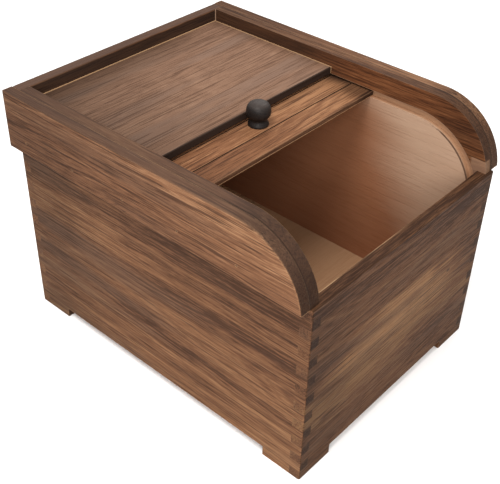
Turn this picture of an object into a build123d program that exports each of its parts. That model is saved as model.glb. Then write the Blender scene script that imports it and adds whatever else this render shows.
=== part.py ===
from build123d import *
import os
from math import asin, degrees

# Bread box with a roll top. A low front board and a high back board are finger jointed
# between two side walls whose tops curve down to the front. A rail is planted on the outside of
# each wall, and a roll top of slats on canvas runs in a track cut in the walls' inner faces.
# X runs across the box, Y from front to back, Z up. The origin is on the table, under the middle.

# ---- driving sizes, in millimetres ----
# boards
body_width = 240.0
body_depth = 318.0
overall_height = 228.0
front_height = 176.0
front_thick = 10.5
side_thick = 10.0
back_thick = 10.0
rail_thick = 10.0
edge_round = 1.0
corner_round = 1.6

# finger joints at the four corners, up to the height of the front board
finger_count = 19

# feet, left where the boards' lower edges are cut away
foot_length = 38.0
foot_height = 9.5

# floor panel, let into all four boards
floor_top = 30.0
floor_thick = 8.0
floor_let_in = 4.5
floor_end_gap = 0.5
floor_play = 0.2

# curve of the walls and rails at the front
nose_radius = 58.5
nose_setback = 2.0

# fixed top panel behind the opening
panel_front = 165.5
panel_top = 216.5
panel_thick = 6.5
panel_round = 0.8

# track for the roll top
track_width = 7.4
track_depth = 4.5
track_radius = 62.8
track_centre_y = 73.0
track_centre_z = 143.2
track_turn = 70.0
track_back_gap = 5.0

# roll top, shown pushed open
slat_count = 8
slat_pitch = 22.5
slat_thick = 4.6
slat_gap = 0.4
slat_end_gap = 0.6
slat_round = 0.6
slat_rise = 0.6
roll_back_gap = 6.5
jointed_slats = 3
canvas_thick = 0.6
canvas_margin = 14.0
canvas_end = 3.0
canvas_gap = 0.8

# knob and its screw
knob_slat = 2
knob_height = 21.0
knob_base_radius = 8.8
knob_base_height = 1.4
knob_waist_radius = 7.0
knob_waist_height = 5.4
knob_head_radius = 10.4
knob_head_height = 12.2
screw_radius = 1.75
screw_bite = 12.0
screw_head_radius = 3.6
screw_head_height = 2.0
screw_slot = 0.9

# brads
brad_radius = 0.8
brad_length = 17.0
brad_recess = 0.5
rail_brads_per_side = 5
rail_brad_inset = 24.0
rail_brad_height = 12.0
panel_brad_length = 22.0
panel_brads_per_side = 3
panel_brad_inset = 22.0
shank_clearance = 0.05

# ---- worked out from them ----
half_width = body_width / 2
inner_half = half_width - side_thick
front_y = -body_depth / 2
back_y = body_depth / 2
front_inner_y = front_y + front_thick
back_inner_y = back_y - back_thick
finger_height = front_height / finger_count
last_finger_z = (finger_count - 1) * finger_height
nose_y = front_y + nose_setback + nose_radius
nose_z = overall_height - nose_radius
nose_drop = degrees(asin((front_height - nose_z) / nose_radius))
arc_y = front_y + track_centre_y
track_low_z = track_centre_z + track_radius - track_width / 2
track_back_y = back_inner_y - track_back_gap
slat_low_z = track_low_z + slat_rise
slat_top_z = slat_low_z + slat_thick
slat_length = 2 * (inner_half - slat_end_gap)
lead_y = back_inner_y - roll_back_gap - slat_count * slat_pitch
knob_y = lead_y + (knob_slat - 0.5) * slat_pitch
panel_y = front_y + panel_front

os.makedirs("parts", exist_ok=True)


def save(builder, node):
    builder.part.label = node
    export_step(builder.part, f"parts/{node}.step")


def slab_start(side, near, thick):
    """Lower X of a slab that starts at a distance from the middle plane, left (-1) or right (1)."""
    return near if side > 0 else -near - thick


def finger_places(first):
    """Middle heights of every second finger, counted from the table."""
    return [(k + 0.5) * finger_height for k in range(first, finger_count, 2)]


def spread(start, end, count):
    """Evenly spaced places from start to end."""
    return [start + (end - start) * k / (count - 1) for k in range(count)]


def nose_outline(x, low_points):
    """Side view of a wall or rail: the curved nose, the level top and the given lower corners."""
    with BuildSketch(Plane.YZ.offset(x)) as outline:
        with BuildLine():
            nose = CenterArc((nose_y, nose_z), nose_radius, 90, 90 - nose_drop)
            Polyline(nose @ 1, *low_points, (back_y, overall_height), nose @ 0)
        make_face()
    return outline.sketch


def track_outline(x):
    """Side view of the track: level behind, then curving down behind the front board."""
    outer = track_radius + track_width / 2
    inner = track_radius - track_width / 2
    with BuildSketch(Plane.YZ.offset(x)) as outline:
        with BuildLine():
            top = CenterArc((arc_y, track_centre_z), outer, 90, track_turn)
            low = CenterArc((arc_y, track_centre_z), inner, 90, track_turn)
            Line(top @ 1, low @ 1)
            back_top = (track_back_y, track_centre_z + outer)
            back_low = (track_back_y, track_centre_z + inner)
            Polyline(top @ 0, back_top, back_low, low @ 0)
        make_face()
    return outline.sketch


def cut_floor_groove():
    """Takes the floor panel's edges, with play over it and a gap at its ends, out of a board."""
    reach = floor_let_in + floor_end_gap
    length = back_inner_y - front_inner_y + 2 * reach
    middle = (back_inner_y + front_inner_y) / 2
    height = floor_thick + floor_play
    with Locations((0, middle, floor_top - floor_thick + height / 2)):
        Box(2 * (inner_half + reach), length, height, mode=Mode.SUBTRACT)


def end_board(y_low, thick, height):
    """A front or back board: finger slots at both ends, feet at its corners, a floor groove."""
    y_mid = y_low + thick / 2
    with Locations((0, y_mid, height / 2)):
        Box(body_width, thick, height)
    outside = edges().filter_by(Axis.Z).sort_by(Axis.Y)
    fillet(outside[:2] if y_low < 0 else outside[-2:], corner_round)
    fillet(faces().sort_by(Axis.Z)[-1].edges().filter_by(Axis.X), edge_round)
    for side in (-1, 1):
        x_mid = slab_start(side, inner_half, side_thick) + side_thick / 2
        with Locations(*[(x_mid, y_mid, z) for z in finger_places(1)]):
            Box(side_thick, thick, finger_height, mode=Mode.SUBTRACT)
    with Locations((0, y_mid, foot_height / 2)):
        Box(body_width - 2 * foot_length, thick, foot_height, mode=Mode.SUBTRACT)
    cut_floor_groove()


def brad_holes(side, outer, depth, places, z):
    """Holes for a row of brads, drilled in from a distance out on one side."""
    x_mid = side * (outer - depth / 2)
    with Locations(*[Location((x_mid, y, z), (0, 90, 0)) for y in places]):
        Cylinder(brad_radius + shank_clearance, depth, mode=Mode.SUBTRACT)


def brads(outer, length, places, z):
    """A row of brads on both sides, their outer ends at a distance out."""
    for side in (-1, 1):
        x_mid = side * (outer - length / 2)
        with Locations(*[Location((x_mid, y, z), (0, 90, 0)) for y in places]):
            Cylinder(brad_radius, length)


# brads through the rails into the walls, and through the walls into the top panel
rail_outer = half_width + rail_thick
rail_brad_z = front_height + rail_brad_height
rail_brad_places = spread(nose_y, back_y - rail_brad_inset, rail_brads_per_side)
rail_brad_depth = brad_recess + brad_length + brad_recess
panel_brad_z = panel_top - panel_thick / 2
panel_brad_ends = (panel_y + panel_brad_inset, back_inner_y - panel_brad_inset)
panel_brad_places = spread(*panel_brad_ends, panel_brads_per_side)
panel_brad_depth = panel_brad_length + brad_recess


# ---- side walls: the top follows the nose, the track and the floor groove are on the inside ----
for side, node in ((-1, "side_wall_left"), (1, "side_wall_right")):
    wall_x = slab_start(side, inner_half, side_thick)
    with BuildPart() as side_wall:
        extrude(nose_outline(wall_x, [(front_y, front_height), (front_y, 0), (back_y, 0)]), amount=side_thick)
        corners = edges().filter_by(Axis.Z).sort_by(Axis.X)
        fillet(corners[:2] if side < 0 else corners[-2:], corner_round)
        for first_y, thick in ((front_y, front_thick), (back_inner_y, back_thick)):
            x_mid = wall_x + side_thick / 2
            with Locations(*[(x_mid, first_y + thick / 2, z) for z in finger_places(0)]):
                Box(side_thick, thick, finger_height, mode=Mode.SUBTRACT)
        with Locations((x_mid, back_y - back_thick / 2, (last_finger_z + overall_height) / 2)):
            Box(side_thick, back_thick, overall_height - last_finger_z, mode=Mode.SUBTRACT)
        with Locations((x_mid, 0, foot_height / 2)):
            Box(side_thick, body_depth - 2 * foot_length, foot_height, mode=Mode.SUBTRACT)
        track_x = slab_start(side, inner_half, track_depth)
        extrude(track_outline(track_x), amount=track_depth, mode=Mode.SUBTRACT)
        cut_floor_groove()
        brad_holes(side, rail_outer, rail_brad_depth, rail_brad_places, rail_brad_z)
        brad_holes(side, half_width, panel_brad_depth, panel_brad_places, panel_brad_z)
    save(side_wall, node)

# ---- front and back boards ----
with BuildPart() as front_board:
    end_board(front_y, front_thick, front_height)
save(front_board, "front_board")

with BuildPart() as back_board:
    end_board(back_inner_y, back_thick, overall_height)
save(back_board, "back_board")

# ---- floor panel, held in the grooves of the four boards ----
with BuildPart() as floor_panel:
    floor_length = back_inner_y - front_inner_y + 2 * floor_let_in
    with Locations((0, (back_inner_y + front_inner_y) / 2, floor_top - floor_thick / 2)):
        Box(2 * (inner_half + floor_let_in), floor_length, floor_thick)
save(floor_panel, "floor_panel")

# ---- top panel, fixed between the walls just above the track ----
with BuildPart() as top_panel:
    with Locations((0, (panel_y + back_inner_y) / 2, panel_top - panel_thick / 2)):
        Box(2 * inner_half, back_inner_y - panel_y, panel_thick)
    fillet(edges().filter_by(Axis.X).group_by(Axis.Y)[0], panel_round)
    for side in (-1, 1):
        brad_holes(side, half_width, panel_brad_depth, panel_brad_places, panel_brad_z)
save(top_panel, "top_panel")

# ---- rails planted on the outside of the walls ----
for side, node in ((-1, "rail_left"), (1, "rail_right")):
    with BuildPart() as rail:
        rail_x = slab_start(side, half_width, rail_thick)
        extrude(nose_outline(rail_x, [(back_y, front_height)]), amount=rail_thick)
        outside = faces().sort_by(Axis.X)[0 if side < 0 else -1]
        fillet(outside.edges(), edge_round)
        brad_holes(side, rail_outer, rail_brad_depth, rail_brad_places, rail_brad_z)
    save(rail, node)

with BuildPart() as rail_brads:
    brads(rail_outer - brad_recess, brad_length, rail_brad_places, rail_brad_z)
save(rail_brads, "rail_brads")

with BuildPart() as panel_brads:
    brads(half_width, panel_brad_length, panel_brad_places, panel_brad_z)
save(panel_brads, "panel_brads")

# ---- roll top: slats side by side, numbered from the leading edge back ----
for number in range(1, slat_count + 1):
    slat_y = lead_y + (number - 0.5) * slat_pitch
    with BuildPart() as slat:
        with Locations((0, slat_y, slat_low_z + slat_thick / 2)):
            Box(slat_length, slat_pitch - slat_gap, slat_thick)
        fillet(faces().sort_by(Axis.Z)[-1].edges().filter_by(Axis.X), slat_round)
        if number == knob_slat:
            with Locations((0, knob_y, slat_low_z + slat_thick / 2)):
                Cylinder(screw_radius + shank_clearance, slat_thick, mode=Mode.SUBTRACT)
    save(slat, f"slat_{number}")

# ---- canvas glued under the slats, in one strip for each slat that tilts and one for the rest ----
canvas_z = slat_low_z - canvas_thick / 2
canvas_strips = [(f"canvas_{n}", n, n) for n in range(1, jointed_slats + 1)]
canvas_strips.append(("canvas_tail", jointed_slats + 1, slat_count))
for node, first, last in canvas_strips:
    start = lead_y + (first - 1) * slat_pitch + (canvas_end if first == 1 else canvas_gap / 2)
    end = lead_y + last * slat_pitch - (canvas_end if last == slat_count else canvas_gap / 2)
    with BuildPart() as canvas:
        with Locations((0, (start + end) / 2, canvas_z)):
            Box(slat_length - 2 * canvas_margin, end - start, canvas_thick)
        if first <= knob_slat <= last:
            with Locations((0, knob_y, canvas_z)):
                Cylinder(screw_radius + shank_clearance, canvas_thick, mode=Mode.SUBTRACT)
    save(canvas, node)

# ---- knob, turned about an upright line over its slat ----
with BuildPart() as knob:
    with BuildSketch(Plane.XZ.offset(-knob_y)):
        with BuildLine():
            foot = Polyline((0, slat_top_z), (knob_base_radius, slat_top_z),
                            (knob_base_radius, slat_top_z + knob_base_height))
            waist = (knob_waist_radius, slat_top_z + knob_waist_height)
            widest = (knob_head_radius, slat_top_z + knob_head_height)
            flare = Spline(foot @ 1, waist, widest, tangents=[(-0.4, 1), (0, 1)])
            dome = Spline(flare @ 1, (0, slat_top_z + knob_height), tangents=[(0, 1), (-1, 0)])
            Line(dome @ 1, foot @ 0)
        make_face()
    revolve(axis=Axis((0, knob_y, 0), (0, 0, 1)))
    with Locations((0, knob_y, slat_top_z + screw_bite / 2)):
        Cylinder(screw_radius + shank_clearance, screw_bite, mode=Mode.SUBTRACT)
save(knob, "knob")

with BuildPart() as knob_screw:
    screw_low_z = slat_low_z - canvas_thick - screw_head_height
    with Locations((0, knob_y, screw_low_z)):
        Cylinder(screw_head_radius, screw_head_height, align=(Align.CENTER, Align.CENTER, Align.MIN))
    shank_length = canvas_thick + slat_thick + screw_bite - brad_recess
    with Locations((0, knob_y, screw_low_z + screw_head_height)):
        Cylinder(screw_radius, shank_length, align=(Align.CENTER, Align.CENTER, Align.MIN))
    with Locations((0, knob_y, screw_low_z)):
        Box(2 * screw_head_radius, screw_slot, screw_slot * 2, mode=Mode.SUBTRACT)
save(knob_screw, "knob_screw")
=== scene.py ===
import math

import bmesh
import bpy
from mathutils import Matrix, Vector


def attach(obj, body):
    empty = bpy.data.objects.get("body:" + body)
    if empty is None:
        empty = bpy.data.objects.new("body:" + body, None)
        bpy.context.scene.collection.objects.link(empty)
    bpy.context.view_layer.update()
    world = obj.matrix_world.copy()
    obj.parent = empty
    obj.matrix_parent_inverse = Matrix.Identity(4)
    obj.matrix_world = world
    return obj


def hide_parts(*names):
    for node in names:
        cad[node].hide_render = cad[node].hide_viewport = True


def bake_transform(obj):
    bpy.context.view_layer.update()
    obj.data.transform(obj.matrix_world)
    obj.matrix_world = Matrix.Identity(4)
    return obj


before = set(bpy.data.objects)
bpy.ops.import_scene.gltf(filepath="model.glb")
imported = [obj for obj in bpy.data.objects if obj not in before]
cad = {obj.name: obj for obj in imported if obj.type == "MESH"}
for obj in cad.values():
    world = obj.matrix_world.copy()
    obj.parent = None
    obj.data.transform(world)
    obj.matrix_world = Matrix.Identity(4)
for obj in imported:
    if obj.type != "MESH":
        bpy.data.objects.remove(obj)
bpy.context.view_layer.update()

bpy.ops.object.select_all(action="DESELECT")


# ---- Camera, floor and light -------------------------------------------------------------------
# A table-top view from the front left, on a plain pale floor. One soft lamp stands at the front
# left, one hangs overhead and a weaker one stands behind on the right. The room is an even white.
camera_place, camera_turn = (-0.49099, -0.42152, 0.57804), (52.69, -1.253, -48.285)
bpy.ops.object.camera_add(location=camera_place, rotation=[math.radians(a) for a in camera_turn])
camera = bpy.context.object
camera.data.lens = 65.183
camera.data.sensor_width = 36
camera.data.clip_start = 0.02
bpy.context.scene.camera = camera


def new_material(name):
    """A new material, its node tree and its shader."""
    made = bpy.data.materials.new(name)
    made.use_nodes = True
    return made, made.node_tree, made.node_tree.nodes["Principled BSDF"]


bpy.ops.mesh.primitive_plane_add(size=9)
floor = bpy.context.object
floor.name = "floor"
floor_white, _, shader = new_material("floor_white")
shader.inputs["Base Color"].default_value = (0.97, 0.97, 0.97, 1)
shader.inputs["Roughness"].default_value = 0.9
floor.data.materials.append(floor_white)


def soft_lamp(name, place, aim, size, power, colour):
    """An area lamp that looks at a point."""
    bpy.ops.object.light_add(type="AREA", location=place)
    lamp = bpy.context.object
    lamp.name = name
    lamp.data.shape = "DISK"
    lamp.data.size = size
    lamp.data.energy = power
    lamp.data.color = colour
    lamp.rotation_euler = (Vector(aim) - Vector(place)).to_track_quat("-Z", "Y").to_euler()


soft_lamp("lamp_left", (-1.2, -1.0, 1.0), (0, -0.05, 0.1), 1.0, 18, (1, 0.98, 0.95))
soft_lamp("lamp_over", (-0.75, -0.2, 1.9), (0, 0, 0.1), 0.8, 24, (1, 0.985, 0.96))
soft_lamp("lamp_right", (1.3, 0.6, 1.5), (0, 0, 0.1), 1.0, 11, (1, 0.98, 0.96))

room = bpy.data.worlds.new("room")
room.use_nodes = True
room.node_tree.nodes["Background"].inputs["Color"].default_value = (1, 1, 1, 1)
room.node_tree.nodes["Background"].inputs["Strength"].default_value = 0.75
bpy.context.scene.world = room
bpy.context.scene.view_settings.view_transform = "Standard"


# ---- Side walls --------------------------------------------------------------------------------
# Two sawn boards of a light open-grained softwood, their grain from front to back. They are
# scorched and stained brown outside and above the track, and left bare inside. Their front ends
# show end grain between the fingers of the front board.
def node(tree, kind, inputs=None, **settings):
    """Adds a shader node, sets it, and gives its inputs values or other nodes' outputs."""
    made = tree.nodes.new("ShaderNode" + kind)
    for name, value in settings.items():
        setattr(made, name, value)
    for name, value in (inputs or {}).items():
        if isinstance(value, bpy.types.NodeSocket):
            tree.links.new(value, made.inputs[name])
        else:
            made.inputs[name].default_value = value
    return made


def work(tree, operation, *values):
    """A Math node's result."""
    return node(tree, "Math", dict(enumerate(values)), operation=operation).outputs[0]


def between(tree, value, low, high, to_low=0.0, to_high=1.0):
    """A smooth step from to_low to to_high as a value goes from low to high."""
    inputs = {"Value": value, "From Min": low, "From Max": high, "To Min": to_low, "To Max": to_high}
    return node(tree, "MapRange", inputs, interpolation_type="SMOOTHSTEP").outputs["Result"]


def blend_colours(tree, share, first, second, way="MIX"):
    """Two colours mixed by a share."""
    mix = node(tree, "Mix", data_type="RGBA", blend_type=way)
    for socket, value in ((mix.inputs[0], share), (mix.inputs[6], first), (mix.inputs[7], second)):
        if isinstance(value, bpy.types.NodeSocket):
            tree.links.new(value, socket)
        else:
            socket.default_value = value
    return mix.outputs[2]


def new_group(name, inputs, outputs):
    """An empty shader node group with named inputs and outputs."""
    group = bpy.data.node_groups.new(name, "ShaderNodeTree")
    for label, kind, value in inputs:
        socket = group.interface.new_socket(label, in_out="INPUT", socket_type="NodeSocket" + kind)
        if value is not None:
            socket.default_value = value
    for label, kind in outputs:
        group.interface.new_socket(label, in_out="OUTPUT", socket_type="NodeSocket" + kind)
    return group, group.nodes.new("NodeGroupInput").outputs, group.nodes.new("NodeGroupOutput").inputs


def plank_grain():
    """Growth rings about a wavy pith line below the board, with fibres and pores along X."""
    group, given, made = new_group(
        "plank_grain",
        [("Vector", "Vector", None), ("Pith Depth", "Float", 0.06), ("Slope", "Float", 0.0),
         ("Figure", "Float", 0.03), ("Ring Width", "Float", 0.008), ("Seed", "Float", 0.0)],
        [("Bands", "Float"), ("Lines", "Float"), ("Fibres", "Float"), ("Pores", "Float"),
         ("Blotches", "Float"), ("Streaks", "Float")])

    def noise(scale, detail, roughness=0.5):
        place = node(group, "VectorMath", {0: given["Vector"], 1: scale}, operation="MULTIPLY")
        moved = node(group, "VectorMath", {0: place.outputs[0], 1: shift}, operation="ADD")
        inputs = {"Vector": moved.outputs[0], "Scale": 1.0, "Detail": detail, "Roughness": roughness}
        return node(group, "TexNoise", inputs)

    shift = node(group, "VectorMath", {0: (3.1, 5.7, 7.3), "Scale": given["Seed"]},
                 operation="SCALE").outputs[0]
    along = node(group, "SeparateXYZ", {0: given["Vector"]}).outputs
    sway = node(group, "SeparateColor", {0: noise((2.6, 15, 15), 2).outputs["Color"]}).outputs
    ripple = work(group, "MULTIPLY_ADD", noise((12, 110, 110), 2).outputs["Fac"], 0.0032, -0.0016)
    across = work(group, "MULTIPLY_ADD", work(group, "SUBTRACT", sway[0], 0.5), given["Figure"], along[1])
    through = work(group, "MULTIPLY_ADD", work(group, "SUBTRACT", sway[1], 0.5), given["Figure"], along[2])
    through = work(group, "ADD", through, given["Pith Depth"])
    through = work(group, "MULTIPLY_ADD", along[0], given["Slope"], through)
    radius = work(group, "SQRT", work(group, "MULTIPLY_ADD", across, across,
                                     work(group, "MULTIPLY", through, through)))
    ring = work(group, "DIVIDE", work(group, "ADD", radius, ripple), given["Ring Width"])
    ring = work(group, "ADD", ring, work(group, "MULTIPLY", given["Seed"], 11.3))

    def rings(scale, detail):
        inputs = {"W": ring, "Scale": scale, "Detail": detail, "Roughness": 0.6}
        return node(group, "TexNoise", inputs, noise_dimensions="1D").outputs["Fac"]

    group.links.new(rings(1.0, 2), made["Bands"])
    group.links.new(rings(5.5, 2), made["Lines"])
    group.links.new(noise((42, 900, 900), 4, 0.75).outputs["Fac"], made["Fibres"])
    group.links.new(between(group, noise((15, 760, 760), 1).outputs["Fac"], 0.585, 0.63), made["Pores"])
    group.links.new(sway[2], made["Blotches"])
    group.links.new(noise((4, 42, 42), 2).outputs["Fac"], made["Streaks"])
    return group


def wood_colour():
    """The colour of a plank's grain under one finish."""
    group, given, made = new_group(
        "wood_colour",
        [(name, "Float", 0.5) for name in ("Bands", "Lines", "Fibres", "Pores", "Blotches", "Streaks")]
        + [("Contrast", "Float", 1.0), ("Grey Share", "Float", 0.5), ("Pore Share", "Float", 0.75),
           ("End Grain", "Float", 0.0)]
        + [(name, "Color", None) for name in ("Dark", "Middle", "Light", "Grey")],
        [("Color", "Color"), ("Height", "Float")])
    tone = 0.5
    for name, share in (("Bands", 0.42), ("Lines", 0.4), ("Fibres", 1.25), ("Blotches", 0.8)):
        part = work(group, "MULTIPLY", work(group, "SUBTRACT", given[name], 0.5), share)
        tone = work(group, "MULTIPLY_ADD", part, given["Contrast"], tone)
    colour = blend_colours(group, between(group, tone, 0.22, 0.52), given["Dark"], given["Middle"])
    colour = blend_colours(group, between(group, tone, 0.5, 0.82), colour, given["Light"])
    grey = work(group, "MULTIPLY", between(group, given["Streaks"], 0.5, 0.68), given["Grey Share"])
    colour = blend_colours(group, grey, colour, given["Grey"])
    pores = work(group, "MULTIPLY", given["Pores"], given["Pore Share"])
    colour = blend_colours(group, pores, colour, given["Dark"])
    soaked = blend_colours(group, 0.8, colour, given["Dark"])
    colour = blend_colours(group, given["End Grain"], colour, soaked)
    group.links.new(colour, made["Color"])
    height = work(group, "MULTIPLY_ADD", given["Pores"], -0.8, given["Fibres"])
    height = work(group, "MULTIPLY_ADD", given["Lines"], 0.35, height)
    group.links.new(height, made["Height"])
    return group


def worn_edge():
    """How far a sharp edge is rubbed, from 0 on the flat to 1 on the edge."""
    group, given, made = new_group(
        "worn_edge", [("Radius", "Float", 0.0012), ("Patchiness", "Float", 0.5)], [("Wear", "Float")])
    rounded = node(group, "Bevel", {"Radius": given["Radius"]}, samples=4).outputs["Normal"]
    flat = node(group, "NewGeometry").outputs["Normal"]
    same = node(group, "VectorMath", {0: rounded, 1: flat}, operation="DOT_PRODUCT").outputs["Value"]
    edge = between(group, same, 0.985, 0.86)
    place = node(group, "TexCoord").outputs["Object"]
    rub = node(group, "TexNoise", {"Vector": place, "Scale": 70.0, "Detail": 3.0}).outputs["Fac"]
    kept = work(group, "SUBTRACT", 1.0, given["Patchiness"])
    patchy = work(group, "MULTIPLY_ADD", between(group, rub, 0.38, 0.6), given["Patchiness"], kept)
    group.links.new(work(group, "MULTIPLY", edge, patchy), made["Wear"])
    return group


grain_group, colour_group, wear_group = plank_grain(), wood_colour(), worn_edge()
stain = {"Dark": (0.050, 0.023, 0.013, 1), "Middle": (0.145, 0.066, 0.032, 1),
         "Light": (0.245, 0.126, 0.062, 1), "Grey": (0.096, 0.056, 0.037, 1)}
bare = {"Dark": (0.32, 0.185, 0.115, 1), "Middle": (0.46, 0.300, 0.205, 1),
        "Light": (0.53, 0.36, 0.25, 1), "Grey": (0.41, 0.26, 0.17, 1)}
# The grey brown of the worn tops; the left side's larger share of it is painted shade.
worn_top_and_shade = (0.078, 0.047, 0.035, 1)
rubbed_brown = (0.28, 0.16, 0.085, 1)
along_y = (Vector((0, 1, 0)), Vector((0, 0, 1)), Vector((1, 0, 0)))
along_x_upright = (Vector((1, 0, 0)), Vector((0, 0, 1)), Vector((0, -1, 0)))
along_x_flat = (Vector((1, 0, 0)), Vector((0, 1, 0)), Vector((0, 0, 1)))


class Board:
    """A wooden piece's material: its grain, then one or two finishes over it."""

    def __init__(self, name, axes, place, seed, pith=0.06, slope=0.0, figure=0.03, ring=0.008):
        self.material, self.tree, self.shader = new_material(name)
        self.coords = node(self.tree, "TexCoord").outputs
        self.xyz = node(self.tree, "SeparateXYZ", {0: self.coords["Object"]}).outputs
        turned = node(self.tree, "Mapping", {"Vector": self.coords["Object"], "Location": place,
                                             "Rotation": Matrix(axes).to_euler()})
        facing = node(self.tree, "VectorMath", {0: self.coords["Normal"], 1: axes[0]},
                      operation="DOT_PRODUCT").outputs["Value"]
        self.end = between(self.tree, work(self.tree, "ABSOLUTE", facing), 0.6, 0.9)
        normal = node(self.tree, "SeparateXYZ", {0: self.coords["Normal"]}).outputs
        self.upward = between(self.tree, normal[2], 0.2, 0.8)
        self.downward = between(self.tree, normal[2], -0.4, -0.8)
        self.edge_on = between(self.tree, work(self.tree, "ABSOLUTE", normal[0]), 0.7, 0.3)
        self.grain = node(self.tree, "Group", node_tree=grain_group)
        for label, value in (("Pith Depth", pith), ("Slope", slope), ("Figure", figure),
                             ("Ring Width", ring), ("Seed", seed)):
            self.grain.inputs[label].default_value = value
        self.tree.links.new(turned.outputs[0], self.grain.inputs["Vector"])

    def finish(self, colours, contrast=1.0, grey=0.5, end=1.0, lift=0.0, pores=0.75):
        """The grain's colour under a finish, made paler or darker by a lift."""
        made = node(self.tree, "Group", node_tree=colour_group)
        for output in self.grain.outputs:
            self.tree.links.new(output, made.inputs[output.name])
        lifted = work(self.tree, "ADD", self.grain.outputs["Blotches"], lift)
        self.tree.links.new(lifted, made.inputs["Blotches"])
        settings = {**colours, "Contrast": contrast, "Grey Share": grey, "Pore Share": pores}
        for label, value in settings.items():
            made.inputs[label].default_value = value
        self.tree.links.new(work(self.tree, "MULTIPLY", self.end, end), made.inputs["End Grain"])
        self.height = made.outputs["Height"]
        return made.outputs["Color"]

    def bare_wood(self):
        """The grain's colour where the box has no finish, on the inside."""
        return self.finish(bare, contrast=0.35, grey=0.3, end=0.3, pores=0.2)

    def glue_line(self, colour, outward, low, high):
        """A colour with the dark line along the joint between a wall's top and its rail's."""
        line = self.within(outward, wall_outer_x + low, wall_outer_x + high)
        line = work(self.tree, "MULTIPLY", line, between(self.tree, self.xyz[2], 0.1755, 0.1765))
        line = work(self.tree, "MULTIPLY", line,
                    between(self.tree, self.xyz[1], -0.05, -0.10, 0.35, 0.85))
        return blend_colours(self.tree, line, colour, (0.018, 0.010, 0.007, 1))

    def shade(self, colour, mask, amount):
        """A colour made darker where a mask is 1."""
        keep = work(self.tree, "MULTIPLY_ADD", mask, -amount, 1.0)
        grey = node(self.tree, "CombineXYZ", {0: keep, 1: keep, 2: keep}).outputs[0]
        return blend_colours(self.tree, 1.0, colour, grey, "MULTIPLY")

    def wear(self, colour, radius, share, tint, patchiness=0.5):
        """A colour with its sharp edges rubbed towards a tint, by a share."""
        made = node(self.tree, "Group", node_tree=wear_group)
        made.inputs["Radius"].default_value = radius
        made.inputs["Patchiness"].default_value = patchiness
        return blend_colours(self.tree, work(self.tree, "MULTIPLY", made.outputs[0], share), colour, tint)

    def close(self, colour, rough=(0.75, 0.55), relief=0.00012, sheen=0.06):
        """Joins a colour, the grain's roughness and its relief to the shader."""
        self.tree.links.new(colour, self.shader.inputs["Base Color"])
        roughness = between(self.tree, self.grain.outputs["Fibres"], 0.3, 0.7, *rough)
        self.tree.links.new(roughness, self.shader.inputs["Roughness"])
        bump = node(self.tree, "Bump", {"Height": self.height, "Distance": relief, "Strength": 1.0})
        self.tree.links.new(bump.outputs[0], self.shader.inputs["Normal"])
        self.shader.inputs["Specular IOR Level"].default_value = sheen
        return self.material

    def within(self, value, low, high, soft=0.0002):
        """1 where a value lies between two limits, 0 outside."""
        above = between(self.tree, value, low - soft, low + soft)
        below = between(self.tree, value, high + soft, high - soft)
        return work(self.tree, "MULTIPLY", above, below)


def paint(piece, material):
    """Gives a piece one material."""
    piece.data.materials.clear()
    piece.data.materials.append(material)


track_centre = (-0.086, 0.1432)
track_outer, track_inner = 0.0665, 0.0591
wall_inner_x, wall_outer_x, track_floor_x = 0.110, 0.120, 0.1145
board_height = 0.176
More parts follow.
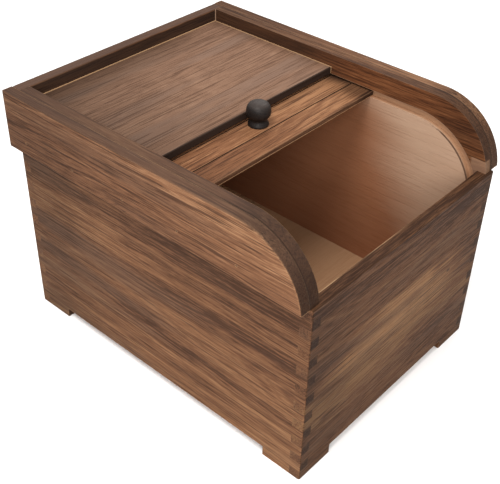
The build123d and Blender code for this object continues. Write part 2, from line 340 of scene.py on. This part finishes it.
# How pale a wall's outside is from its lower edge, at 0, to the front board's height, at 1.
board_tones = ((0.0, 0.62), (0.24, 0.6), (0.34, 0.44), (0.46, 0.56), (0.57, 0.42), (0.63, 0.45),
               (0.72, 0.62), (0.80, 0.52), (0.88, 0.34), (0.93, 0.36), (1.0, 0.5))
for side, name, seed, place in ((-1, "side_wall_left", 1.0, (0, -0.085, 0.02)),
                                (1, "side_wall_right", 2.0, (0.1, -0.14, 0.0))):
    wall = Board(name, along_y, place, seed, pith=0.075, slope=0.04 * side, figure=0.028, ring=0.011)
    tree, (x, y, z) = wall.tree, wall.xyz
    wavy = work(tree, "MULTIPLY_ADD", wall.grain.outputs["Blotches"], 0.03, work(tree, "ADD", z, -0.015))
    tones = node(tree, "ValToRGB", {"Fac": work(tree, "DIVIDE", wavy, board_height)})
    for position, _ in board_tones[1:-1]:
        tones.color_ramp.elements.new(position)
    for stop, (position, value) in zip(tones.color_ramp.elements, board_tones):
        stop.position, stop.color = position, (value, value, value, 1)
    broad = work(tree, "MULTIPLY_ADD", tones.outputs[0], 0.9, -0.45)
    behind = work(tree, "MAXIMUM", work(tree, "SUBTRACT", track_centre[0], y), 0.0)
    over = work(tree, "MAXIMUM", work(tree, "SUBTRACT", z, track_centre[1]), 0.0)
    reach = work(tree, "SQRT", work(tree, "MULTIPLY_ADD", behind, behind, work(tree, "MULTIPLY", over, over)))
    outward = work(tree, "MULTIPLY", x, side)
    inside = between(tree, outward, track_floor_x + 0.0003, track_floor_x + 0.0001)
    inside = work(tree, "MULTIPLY", inside, between(tree, y, 0.1505, 0.1495))
    under_track = between(tree, reach, track_outer + 0.0003, track_outer - 0.0001)
    unstained = work(tree, "MULTIPLY", under_track, inside)
    heel = work(tree, "MULTIPLY", wall.within(z, 0.17, 0.1865), between(tree, y, -0.140, -0.143))
    heel = work(tree, "MULTIPLY", work(tree, "MULTIPLY", heel, 0.13 + 0.13 * side),
                between(tree, outward, wall_inner_x + 0.0075, wall_inner_x + 0.006))
    unstained = work(tree, "MAXIMUM", unstained, heel)
    patch = node(tree, "TexNoise", {"Vector": wall.coords["Object"], "Scale": 130.0, "Detail": 2.0})
    outside = wall.finish(stain, contrast=1.0, grey=0.45, lift=broad,
                          end=between(tree, patch.outputs["Fac"], 0.35, 0.55, 0.5, 1.0))
    # Painted shade: the outside darkens towards the back, where less lamp light reaches.
    outside = wall.shade(outside, between(tree, y, 0.03, 0.14), 0.35)
    crown = work(tree, "MULTIPLY", wall.edge_on, between(tree, y, -0.075, -0.115))
    # The tops and the nose are darkened and mixed towards a grey brown; the left side takes more than the
    # right, and that difference is painted shade.
    outside = wall.shade(outside, work(tree, "MAXIMUM", wall.upward, crown), 0.2 - 0.1 * side)
    outside = blend_colours(tree, work(tree, "MULTIPLY", wall.upward, 0.35 - 0.15 * side), outside, worn_top_and_shade)
    outside = wall.shade(outside, crown, 0.4)
    ruddy = blend_colours(tree, 1.0, outside, (0.95, 0.76, 0.64, 1), "MULTIPLY")
    ruddy = wall.shade(ruddy, between(tree, y, -0.085, -0.125), 0.3)
    inner_face = between(tree, outward, wall_inner_x + 0.0003, wall_inner_x + 0.0001)
    outside = blend_colours(tree, inner_face, outside, ruddy)
    # Painted shade: the stained inner face is darkened nearly to black towards the back, in the recess above
    # the panel.
    recess_shade = work(tree, "MULTIPLY", inner_face, between(tree, y, -0.03, 0.05))
    outside = blend_colours(tree, work(tree, "MULTIPLY", recess_shade, 0.75), outside, (0.030, 0.016, 0.010, 1))
    corner = work(tree, "MULTIPLY", wall.within(y, 0.1479, 0.1493), between(tree, z, 0.216, 0.217))
    corner = work(tree, "MULTIPLY", corner, work(tree, "MULTIPLY", inner_face, 0.7))
    unstained = work(tree, "MAXIMUM", unstained, corner)
    unstained = work(tree, "MAXIMUM", unstained, work(tree, "MULTIPLY", wall.downward, 0.6))
    inner = wall.bare_wood()
    # Painted shade: the bare inside darkens and reddens towards the back and lower down, where the slats and
    # panel shade it.
    depth_in = work(tree, "MULTIPLY_ADD", z, -0.5, work(tree, "ADD", y, 0.09))
    depth_in = work(tree, "MULTIPLY_ADD", wall.grain.outputs["Streaks"], 0.04,
                    work(tree, "ADD", depth_in, -0.02))
    deep_shade = work(tree, "MULTIPLY", between(tree, depth_in, -0.090, -0.015), between(tree, reach, 0.062, 0.058))
    low_down = work(tree, "MULTIPLY_ADD", y, -0.3, z)
    deep_shade = work(tree, "MAXIMUM", deep_shade, between(tree, low_down, 0.165, 0.10, 0.0, 0.6))
    inner_in_shade = blend_colours(tree, 1.0, inner, (0.63, 0.41, 0.30, 1), "MULTIPLY")
    inner = blend_colours(tree, deep_shade, inner, inner_in_shade)
    groove = between(tree, outward, wall_inner_x + 0.0010, wall_inner_x + 0.0016)
    browned = blend_colours(tree, 1.0, inner, (0.88, 0.76, 0.64, 1), "MULTIPLY")
    inner = blend_colours(tree, groove, inner, browned)
    colour = blend_colours(tree, unstained, outside, inner)
    # Scorch spots, and a painted shadow line along the track's inner shoulder on the curve, darkest towards
    # the front.
    shoulder = wall.within(reach, track_inner - 0.0012, track_inner + 0.0003, 0.0003)
    curved = between(tree, y, -0.096, -0.103)
    scorch = node(tree, "TexNoise", {"Vector": wall.coords["Object"], "Scale": 320.0, "Detail": 2.0})
    scorch_and_shadow = work(tree, "MULTIPLY", between(tree, scorch.outputs["Fac"], 0.5, 0.58), 0.8)
    scorch_and_shadow = work(tree, "MAXIMUM", scorch_and_shadow, between(tree, y, -0.104, -0.112, 0.15, 0.9))
    dark_mark = work(tree, "MULTIPLY", work(tree, "MULTIPLY", shoulder, curved), scorch_and_shadow)
    dark_mark = work(tree, "MULTIPLY", dark_mark, between(tree, outward, wall_inner_x + 0.001, wall_inner_x + 0.0005))
    colour = blend_colours(tree, work(tree, "MULTIPLY", dark_mark, 0.9), colour, (0.045, 0.016, 0.007, 1))
    fingers = work(tree, "MAXIMUM", between(tree, y, -0.147, -0.148), between(tree, y, 0.1475, 0.1485))
    fingers = work(tree, "MULTIPLY", fingers, between(tree, z, 0.177, 0.175))
    rub = work(tree, "MULTIPLY_ADD", fingers, -0.33, 0.45)
    rub = work(tree, "MULTIPLY_ADD", between(tree, z, 0.0115, 0.010), 0.35, rub)
    colour = wall.wear(colour, 0.0009, rub, (0.25, 0.14, 0.075, 1))
    paint(cad[name], wall.close(wall.glue_line(colour, outward, -0.0007, 0.001)))


# ---- Front and back boards ---------------------------------------------------------------------
# The same scorched wood with its grain across the box. The front board is low and darker, partly by
# painted shade, with a paler streaky figure in its middle; the back board stands to the full height of the
# box.
front = Board("front_board", along_x_upright, (0.02, -0.06, -0.155), 3.4, pith=0.045, slope=0.05,
              figure=0.075, ring=0.012)
tree, (x, y, z) = front.tree, front.xyz
wisp = node(tree, "TexNoise", {"Vector": front.coords["Object"], "Scale": 32.0, "Detail": 3.0}).outputs["Fac"]
pale_x, pale_z, pale_length, pale_height = -0.002, 0.097, 0.105, 0.026
length = work(tree, "DIVIDE", work(tree, "SUBTRACT", x, pale_x), pale_length)
height = work(tree, "DIVIDE", work(tree, "SUBTRACT", z, pale_z), pale_height)
spread = work(tree, "MULTIPLY_ADD", length, length, work(tree, "MULTIPLY", height, height))
streaky = work(tree, "MULTIPLY_ADD", front.grain.outputs["Streaks"], 2.4, work(tree, "MULTIPLY", wisp, 0.8))
pale = between(tree, work(tree, "ADD", streaky, spread), 2.9, 1.3)
lift = work(tree, "MULTIPLY_ADD", between(tree, z, 0.135, 0.165), -0.08, work(tree, "MULTIPLY", pale, 0.5))
outside = front.finish({**stain, "Light": (0.225, 0.118, 0.054, 1)}, contrast=0.95, grey=0.35, end=0.35,
                       lift=lift)
# Painted shade: the front face is darkened by a third, more towards the left, but not on the pale figure or
# the end grain.
front_shade = work(tree, "MULTIPLY_ADD", between(tree, x, -0.04, -0.11), 0.15, 0.34)
front_shade = work(tree, "MULTIPLY_ADD", pale, -0.34, front_shade)
outside = front.shade(outside, work(tree, "MULTIPLY", front_shade, work(tree, "SUBTRACT", 1.0, front.end)), 1.0)
knot_x = work(tree, "DIVIDE", work(tree, "SUBTRACT", x, 0.0706), 0.0036)
knot_z = work(tree, "DIVIDE", work(tree, "SUBTRACT", z, 0.0995), 0.0019)
knot = work(tree, "MULTIPLY_ADD", knot_x, knot_x, work(tree, "MULTIPLY", knot_z, knot_z))
outside = blend_colours(tree, between(tree, work(tree, "MULTIPLY_ADD", wisp, 1.5, knot), 2.0, 0.9, 0.0, 0.7),
                        outside, (0.022, 0.012, 0.008, 1))
inner = front.bare_wood()
inside = work(tree, "MULTIPLY", between(tree, y, -0.1491, -0.1487), between(tree, z, 0.1745, 0.1735))
between_walls = between(tree, work(tree, "ABSOLUTE", x), wall_inner_x + 0.0003, wall_inner_x + 0.0001)
inside = work(tree, "MULTIPLY", inside, between_walls)
inside = work(tree, "MAXIMUM", inside, work(tree, "MULTIPLY", front.downward, 0.6))
colour = blend_colours(tree, inside, outside, inner)
rub = work(tree, "MULTIPLY_ADD", between(tree, work(tree, "ABSOLUTE", x), 0.1085, 0.1095), -0.28, 0.45)
colour = front.wear(colour, 0.0011, rub, rubbed_brown)
inner_arris = work(tree, "MULTIPLY", between(tree, z, 0.1750, 0.1757), between(tree, y, -0.1500, -0.1493))
inner_arris = work(tree, "MULTIPLY", inner_arris, between(tree, wisp, 0.4, 0.6, 0.2, 0.8))
inner_arris = work(tree, "MULTIPLY", inner_arris, between(tree, x, 0.03, -0.05))
colour = blend_colours(tree, inner_arris, colour, (0.42, 0.26, 0.14, 1))
paint(cad["front_board"], front.close(colour))

back = Board("back_board", along_x_upright, (0.2, -0.12, 0.149), 5.2, pith=0.08, slope=-0.03,
             figure=0.05, ring=0.011)
tree, (x, y, z) = back.tree, back.xyz
outside = back.finish({**stain, "Light": (0.225, 0.115, 0.056, 1)}, contrast=0.95, grey=0.5, end=0.35)
inner = back.bare_wood()
outside = blend_colours(tree, work(tree, "MULTIPLY", back.upward, 0.75), outside, (0.080, 0.048, 0.036, 1))
# Painted shade: the back board's inner face above the panel is darkened nearly to black.
recess_shade = work(tree, "MULTIPLY", between(tree, y, 0.1495, 0.1492), between(tree, z, 0.2268, 0.2262))
outside = blend_colours(tree, work(tree, "MULTIPLY", recess_shade, 0.8), outside, (0.022, 0.013, 0.010, 1))
inside = work(tree, "MULTIPLY", between(tree, y, 0.1493, 0.1489), between(tree, z, 0.2125, 0.2115))
between_walls = between(tree, work(tree, "ABSOLUTE", x), wall_inner_x + 0.0003, wall_inner_x + 0.0001)
inside = work(tree, "MULTIPLY", inside, between_walls)
inside = work(tree, "MAXIMUM", inside, work(tree, "MULTIPLY", back.downward, 0.6))
colour = blend_colours(tree, inside, outside, inner)
rub = work(tree, "MULTIPLY_ADD", between(tree, work(tree, "ABSOLUTE", x), 0.1085, 0.1095), -0.28, 0.45)
colour = back.wear(colour, 0.0011, rub, rubbed_brown)
paint(cad["back_board"], back.close(colour))


# ---- Floor panel -------------------------------------------------------------------------------
# A thin bare board let into grooves in all four sides, its grain across the box.
floor_board = Board("floor_panel", along_x_flat, (0.0, 0.05, 0.0), 7.1, pith=0.09, slope=0.03,
                    figure=0.05, ring=0.012)
pale_floor = {"Dark": (0.30, 0.155, 0.078, 1), "Middle": (0.41, 0.235, 0.130, 1),
              "Light": (0.47, 0.285, 0.165, 1), "Grey": (0.38, 0.22, 0.120, 1)}
colour = floor_board.finish(pale_floor, contrast=0.35, grey=0.35, end=0.3, pores=0.2)
paint(cad["floor_panel"], floor_board.close(floor_board.wear(colour, 0.001, 0.3, (0.3, 0.18, 0.1, 1))))


# ---- Top panel ---------------------------------------------------------------------------------
# A fixed panel behind the opening, bradded between the walls. Its grain runs across the box, its
# face is a soft grey brown with painted shadow towards the left and the back, and its front edge is nearly
# black.
panel = Board("top_panel", along_x_flat, (0.05, -0.085, -0.2), 8.6, pith=0.012, slope=0.12,
              figure=0.06, ring=0.009)
tree, (x, y, z) = panel.tree, panel.xyz
smoked = {"Dark": (0.100, 0.052, 0.032, 1), "Middle": (0.200, 0.110, 0.069, 1),
          "Light": (0.285, 0.168, 0.107, 1), "Grey": (0.170, 0.107, 0.078, 1)}
face = panel.finish(smoked, contrast=0.75, grey=0.6, end=0.5)
# Painted shadow: the face darkens towards the left wall, and towards the back except at the right.
face = panel.shade(face, between(tree, x, 0.03, -0.11), 0.38)
rear_shadow = work(tree, "MULTIPLY", between(tree, y, 0.105, 0.143), between(tree, x, 0.095, 0.03))
face = panel.shade(face, rear_shadow, 0.4)
under = panel.bare_wood()
colour = blend_colours(tree, between(tree, z, 0.2106, 0.2102), face, under)
# The front edge is darkened nearly to black.
front_edge = between(tree, y, 0.0080, 0.0070)
colour = blend_colours(tree, work(tree, "MULTIPLY", front_edge, 0.9), colour, (0.016, 0.010, 0.008, 1))
edges = work(tree, "MAXIMUM", between(tree, x, 0.1083, 0.1090), between(tree, y, 0.1471, 0.1479))
colour = blend_colours(tree, work(tree, "MULTIPLY", edges, 0.8), colour, (0.42, 0.25, 0.13, 1))
paint(cad["top_panel"], panel.close(colour))


# ---- Rails -------------------------------------------------------------------------------------
# A stained rail is planted on the outside of each wall and follows its curve. The nails that hold
# it are sunk, and the glue line shows between the two tops.
for side, name, seed, place in ((-1, "rail_left", 11.0, (0.0, -0.24, 0.03)),
                                (1, "rail_right", 12.3, (0.2, -0.17, 0.0))):
    rail = Board(name, along_y, place, seed, pith=0.05, slope=0.05, figure=0.05, ring=0.0075)
    tree, (x, y, z) = rail.tree, rail.xyz
    warm = {**stain, "Middle": (0.155, 0.070, 0.035, 1), "Light": (0.30, 0.155, 0.080, 1)}
    colour = rail.finish(warm, contrast=0.85, grey=0.3, end=0.8,
                         lift=work(tree, "MULTIPLY_ADD", between(tree, y, 0.09, -0.11), 0.3, -0.12))
    # Painted shade: the rail darkens towards the back.
    colour = rail.shade(colour, between(tree, y, 0.0, 0.13), 0.3)
    crown = work(tree, "MULTIPLY", rail.edge_on, between(tree, y, -0.075, -0.115))
    # The top and the nose are darkened and mixed towards a grey brown, more on the left than the right; that
    # difference is painted shade.
    colour = rail.shade(colour, work(tree, "MAXIMUM", rail.upward, crown), 0.25 - 0.15 * side)
    colour = blend_colours(tree, work(tree, "MULTIPLY", rail.upward, 0.35 - 0.15 * side), colour, worn_top_and_shade)
    colour = rail.shade(colour, crown, 0.35)
    colour = rail.wear(colour, 0.0015, 0.8, (0.34, 0.19, 0.10, 1), patchiness=0.35)
    outward = work(tree, "MULTIPLY", x, side)
    paint(cad[name], rail.close(rail.glue_line(colour, outward, -0.001, 0.0006)))


# ---- Nails -------------------------------------------------------------------------------------
# Small steel brads, their heads punched just below the wood and browned over by the stain.
brad_steel, tree, shader = new_material("brad_steel")
place = node(tree, "TexCoord").outputs["Object"]
rust = node(tree, "TexNoise", {"Vector": place, "Scale": 1500.0, "Detail": 3.0}).outputs["Fac"]
colour = blend_colours(tree, between(tree, rust, 0.35, 0.65), (0.05, 0.035, 0.028, 1), (0.14, 0.10, 0.08, 1))
tree.links.new(colour, shader.inputs["Base Color"])
tree.links.new(between(tree, rust, 0.3, 0.7, 0.65, 0.4), shader.inputs["Roughness"])
shader.inputs["Metallic"].default_value = 0.7
for name in ("rail_brads", "panel_brads"):
    paint(cad[name], brad_steel)


# ---- Slats of the roll top ---------------------------------------------------------------------
# Eight stained strips side by side, their ends running in the tracks. The upper edges are eased,
# so a fine dark line shows between two slats, deepened by painted shade. Each is cut from another place in
# the board.
slat_count, slat_pitch, slat_gap = 8, 0.0225, 0.0004
lead_edge, slat_low, slat_thick = -0.0375, 0.2029, 0.0046
slat_reach, slat_round = 0.114, 0.0006
slat_bodies = ["roll_1", "roll_2", "roll_3"] + ["roll_tail"] * 5

strip = Board("slat_wood", along_x_flat, (0.0, 0.02, -0.19), 15.0, pith=0.03, slope=0.02,
              figure=0.014, ring=0.005)
tree, (x, y, z) = strip.tree, strip.xyz
number = work(tree, "FLOOR", work(tree, "DIVIDE", work(tree, "SUBTRACT", y, lead_edge), slat_pitch))
tree.links.new(work(tree, "MULTIPLY_ADD", number, 1.37, 15.0), strip.grain.inputs["Seed"])
honey = {"Dark": (0.070, 0.030, 0.016, 1), "Middle": (0.175, 0.076, 0.036, 1),
         "Light": (0.315, 0.155, 0.075, 1), "Grey": (0.115, 0.060, 0.037, 1)}
colour = strip.finish(honey, contrast=0.9, grey=0.35, end=0.8,
                      lift=work(tree, "MULTIPLY", between(tree, x, -0.02, 0.06), 0.2))
first_joint = lead_edge + slat_pitch
on_first = between(tree, y, first_joint + 0.2 * slat_pitch, first_joint - 0.2 * slat_pitch, 0.0, 0.012)
far_end = work(tree, "ADD", x, on_first)
dark_mark = work(tree, "MULTIPLY", between(tree, far_end, 0.096, 0.113),
             between(tree, strip.grain.outputs["Streaks"], 0.35, 0.5, 0.5, 0.95))
colour = blend_colours(tree, dark_mark, colour, (0.030, 0.014, 0.009, 1))
front_face = between(tree, y, lead_edge + 0.0012, lead_edge + 0.0004)
colour = blend_colours(tree, work(tree, "MULTIPLY", front_face, 0.55), colour, (0.06, 0.030, 0.019, 1))
arris = work(tree, "MULTIPLY", front_face, between(tree, z, slat_low + 0.0009, slat_low + 0.0005))
colour = blend_colours(tree, arris, colour, (0.52, 0.30, 0.16, 1))
colour = strip.wear(colour, 0.0008, 0.25, (0.34, 0.19, 0.1, 1))
# Painted shade along the joints between slats, on the eased edges either side.
across_slat = work(tree, "FRACT", work(tree, "DIVIDE", work(tree, "SUBTRACT", y, lead_edge), slat_pitch))
joint = work(tree, "MAXIMUM", between(tree, across_slat, 0.036, 0.016),
             between(tree, across_slat, 0.964, 0.984))
joint = work(tree, "MULTIPLY", joint, between(tree, y, lead_edge + 0.002, lead_edge + 0.003))
colour = blend_colours(tree, work(tree, "MULTIPLY", joint, 0.9), colour, (0.014, 0.007, 0.005, 1))
slat_wood = strip.close(colour)

bpy.ops.mesh.primitive_cube_add(size=1, location=(0, lead_edge + slat_pitch / 2, slat_low + slat_thick / 2),
                                scale=(2 * slat_reach, slat_pitch - slat_gap, slat_thick))
first_slat = bpy.context.object
bpy.ops.object.transform_apply(location=True, rotation=True, scale=True)
bpy.ops.object.mode_set(mode="EDIT")
bpy.ops.mesh.select_mode(type="EDGE")
bpy.ops.mesh.select_all(action="DESELECT")
shape = bmesh.from_edit_mesh(first_slat.data)
for edge in shape.edges:
    ends = [v.co for v in edge.verts]
    long_edge = abs(ends[0].x - ends[1].x) > slat_reach
    edge.select_set(long_edge and min(v.z for v in ends) > slat_low + slat_thick / 2)
bmesh.update_edit_mesh(first_slat.data)
bpy.ops.mesh.bevel(offset=slat_round, segments=4, profile=0.5)
bpy.ops.mesh.select_all(action="DESELECT")
for edge in bmesh.from_edit_mesh(first_slat.data).edges:
    edge.select_set(all(abs(v.co.x) > slat_reach - 1e-5 for v in edge.verts))
bpy.ops.mesh.bevel(offset=0.0003, segments=2, profile=0.5)
bpy.ops.object.mode_set(mode="OBJECT")
paint(first_slat, slat_wood)
bpy.ops.object.shade_smooth_by_angle(angle=math.radians(35))
for index, body in enumerate(slat_bodies):
    slat = first_slat.copy()
    slat.data = first_slat.data.copy()
    slat.data.transform(Matrix.Translation((0, index * slat_pitch, 0)))
    slat.name = f"roll_slat_{index + 1}"
    bpy.context.collection.objects.link(slat)
    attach(slat, body)
    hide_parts(f"slat_{index + 1}")
bpy.data.objects.remove(first_slat)


# ---- Canvas ------------------------------------------------------------------------------------
# Plain-woven unbleached canvas, glued under the slats so that they can follow the curve. It is
# one cloth; here it changes from strip to strip under the middle of a slat, where it never bends.
canvas_low, canvas_thick = 0.2023, 0.0006
canvas_reach, canvas_end, canvas_bend = 0.0954, 0.003, 0.004
canvas_rows = 48

cloth, tree, shader = new_material("canvas")
place = node(tree, "TexCoord").outputs["Object"]
threads = []
for direction in ("X", "Y"):
    wave = node(tree, "TexWave", {"Vector": place, "Scale": 160.0, "Distortion": 0.5, "Detail": 1.0},
                wave_type="BANDS", bands_direction=direction)
    threads.append(wave.outputs["Fac"])
weave = work(tree, "MAXIMUM", *threads)
slub = node(tree, "TexNoise", {"Vector": place, "Scale": 240.0, "Detail": 3.0}).outputs["Fac"]
tone = work(tree, "MULTIPLY_ADD", slub, 0.5, work(tree, "MULTIPLY", weave, 0.6))
colour = blend_colours(tree, between(tree, tone, 0.3, 0.85), (0.27, 0.21, 0.145, 1), (0.55, 0.47, 0.36, 1))
tree.links.new(colour, shader.inputs["Base Color"])
tree.links.new(between(tree, weave, 0.2, 1.0, 0.95, 0.8), shader.inputs["Roughness"])
shader.inputs["Sheen Weight"].default_value = 0.25
bump = node(tree, "Bump", {"Height": tone, "Distance": 0.0002, "Strength": 0.8})
tree.links.new(bump.outputs[0], shader.inputs["Normal"])


def canvas_strip(name, start, end):
    """A strip of the canvas under the slats, cut into many rows."""
    bpy.ops.mesh.primitive_plane_add(size=1, location=(0, (start + end) / 2, canvas_low + canvas_thick))
    made = bpy.context.object
    made.name = name
    made.scale = (2 * canvas_reach, end - start, 1)
    bpy.ops.object.transform_apply(location=True, rotation=True, scale=True)
    bpy.ops.object.mode_set(mode="EDIT")
    bpy.ops.mesh.select_all(action="SELECT")
    bpy.ops.mesh.subdivide(number_cuts=canvas_rows - 1)
    bpy.ops.object.mode_set(mode="OBJECT")
    thicken = made.modifiers.new("thickness", "SOLIDIFY")
    thicken.thickness = canvas_thick
    thicken.offset = -1
    bpy.ops.object.modifier_apply(modifier=thicken.name)
    bpy.ops.object.shade_smooth_by_angle(angle=math.radians(40))
    paint(made, cloth)
    return made


middles = [lead_edge + (n + 0.5) * slat_pitch for n in range(slat_count)]
for index, (start, end) in enumerate(((lead_edge + canvas_end, middles[1]), (middles[1], middles[2]),
                                      (middles[2], middles[3]))):
    strip_piece = canvas_strip(f"roll_canvas_{index + 1}", start, end)
    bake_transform(strip_piece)
    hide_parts(f"canvas_{index + 1}")
tail = canvas_strip("roll_canvas_tail", middles[3], lead_edge + slat_count * slat_pitch - canvas_end)
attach(tail, "roll_tail")
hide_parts("canvas_tail")


# ---- Knob and its screw ------------------------------------------------------------------------
# A small mushroom knob, turned from one piece of wood and stained black brown, held from below
# through the second slat by a slotted screw.
knob_y, knob_foot = -0.00375, 0.2075
knob_turning = [(0.00835, 0.0), (0.0088, 0.0003), (0.0088, 0.0013), (0.0085, 0.0022), (0.0077, 0.0037),
                (0.00705, 0.0052), (0.0072, 0.0063), (0.0083, 0.0076), (0.0096, 0.0091), (0.0102, 0.0105),
                (0.0104, 0.0122), (0.0103, 0.0142), (0.0099, 0.0162), (0.0089, 0.0182), (0.0073, 0.0197),
                (0.0049, 0.0206), (0.0023, 0.02095)]
bpy.ops.mesh.primitive_circle_add(vertices=40, radius=knob_turning[0][0], fill_type="NGON",
                                  location=(0, knob_y, knob_foot))
knob = bpy.context.object
knob.name = "turned_knob"
bpy.ops.object.transform_apply(location=True, rotation=True, scale=True)
bpy.ops.object.mode_set(mode="EDIT")
bpy.ops.mesh.select_mode(type="FACE")
bpy.ops.mesh.select_all(action="SELECT")
for (radius, height), (next_radius, next_height) in zip(knob_turning, knob_turning[1:]):
    bpy.ops.mesh.extrude_region_move(TRANSFORM_OT_translate={"value": (0, 0, next_height - height)})
    ratio = next_radius / radius
    bpy.ops.transform.resize(value=(ratio, ratio, 1), center_override=(0, knob_y, knob_foot + next_height))
bpy.ops.mesh.select_all(action="SELECT")
bpy.ops.mesh.normals_make_consistent(inside=False)
bpy.ops.object.mode_set(mode="OBJECT")
smooth = knob.modifiers.new("smooth", "SUBSURF")
smooth.levels = smooth.render_levels = 2
bpy.ops.object.modifier_apply(modifier=smooth.name)
bpy.ops.object.shade_smooth_by_angle(angle=math.radians(50))

turned = Board("black_wood", along_x_flat, (0.0, 0.0, -0.2), 21.0, pith=0.02, figure=0.01, ring=0.003)
black = {"Dark": (0.006, 0.0045, 0.004, 1), "Middle": (0.013, 0.009, 0.0075, 1),
         "Light": (0.027, 0.018, 0.014, 1), "Grey": (0.020, 0.015, 0.0125, 1)}
colour = turned.finish(black, contrast=1.0, grey=0.5, end=0.3)
rubbed = between(turned.tree, turned.xyz[2], knob_foot + 0.016, knob_foot + 0.021)
colour = blend_colours(turned.tree, work(turned.tree, "MULTIPLY", rubbed, 0.4), colour,
                       (0.075, 0.056, 0.048, 1))
paint(knob, turned.close(colour, rough=(0.6, 0.42), relief=0.00006, sheen=0.2))
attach(knob, "roll_2")
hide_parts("knob")

screw_steel, tree, shader = new_material("screw_steel")
place = node(tree, "TexCoord").outputs["Object"]
brush = node(tree, "TexNoise", {"Vector": place, "Scale": 900.0, "Detail": 4.0}).outputs["Fac"]
colour = blend_colours(tree, between(tree, brush, 0.35, 0.65), (0.42, 0.40, 0.36, 1), (0.6, 0.58, 0.54, 1))
tree.links.new(colour, shader.inputs["Base Color"])
tree.links.new(between(tree, brush, 0.3, 0.7, 0.22, 0.42), shader.inputs["Roughness"])
shader.inputs["Metallic"].default_value = 1.0
paint(cad["knob_screw"], screw_steel)
